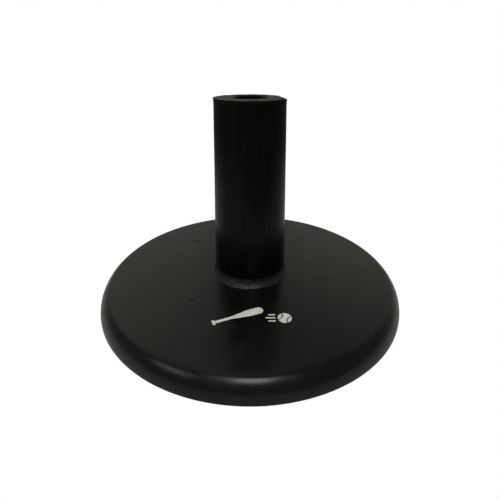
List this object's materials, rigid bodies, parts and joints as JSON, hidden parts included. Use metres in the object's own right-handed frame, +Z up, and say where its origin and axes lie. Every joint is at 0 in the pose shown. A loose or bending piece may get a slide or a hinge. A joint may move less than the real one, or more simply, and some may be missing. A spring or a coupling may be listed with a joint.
{
  "type": "batting tee",
  "caption": "Short all-rubber batting tee: a round crowned base with a rounded rim carries a thick-walled tapered post, open at the top, that holds the ball.",
  "frame": {"origin": "on the floor, on the post's axis, at the bottom centre of the bounding box", "axes": "+Z up along the post, -Y the front, where the printed mark is, +X to the right seen from the front"},
  "size_m": [0.25, 0.25, 0.155],
  "materials": {
    "base_rubber": "moulded black rubber, satin sheen, light scuffs",
    "post_rubber": "smooth black rubber, soft gloss, faint lengthwise streaks, grey knife-cut end",
    "cement": "cured black rubber cement, lumpy, glossy in spots",
    "ink": "off-white screen-print ink, slightly worn"
  },
  "bodies": {
    "root": {"base": "base_rubber", "post": "post_rubber", "cement_joint": "cement", "printed_mark": "ink"}
  },
  "joints": []
}
